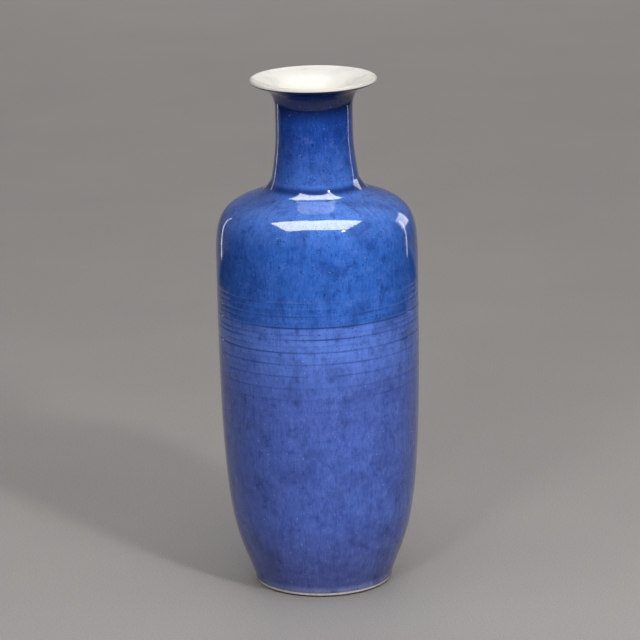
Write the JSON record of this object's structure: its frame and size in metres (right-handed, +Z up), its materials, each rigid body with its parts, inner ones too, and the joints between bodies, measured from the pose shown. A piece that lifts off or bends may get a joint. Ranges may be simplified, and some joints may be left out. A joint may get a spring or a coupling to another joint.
{
  "type": "rouleau vase",
  "caption": "Rouleau vase: swelling body on a turned foot, rounded shoulder, narrow upright neck and everted dish mouth, glazed blue outside and clear inside.",
  "frame": {"origin": "middle of the foot ring, on the surface that the vase stands on", "axes": "+Z up along the axis that the vase was turned on; it is round, so X and Y are any two level directions"},
  "size_m": [0.1014, 0.1014, 0.26],
  "materials": {
    "lower_body": "fired porcelain, bare at the foot",
    "upper_body": "fired porcelain under glaze",
    "neck": "fired porcelain under glaze",
    "waist_slip_seam": "fired slip",
    "neck_slip_seam": "fired slip",
    "blue_glaze": "glossy cobalt glaze, streaked and finely pinholed",
    "inner_glaze": "glossy clear glaze on white body",
    "base_glaze": "glossy clear glaze on white body"
  },
  "bodies": {
    "root": {"lower_body": "lower_body", "upper_body": "upper_body", "neck": "neck", "waist_slip_seam": "waist_slip_seam", "neck_slip_seam": "neck_slip_seam", "blue_glaze": "blue_glaze", "inner_glaze": "inner_glaze", "base_glaze": "base_glaze"}
  },
  "joints": []
}
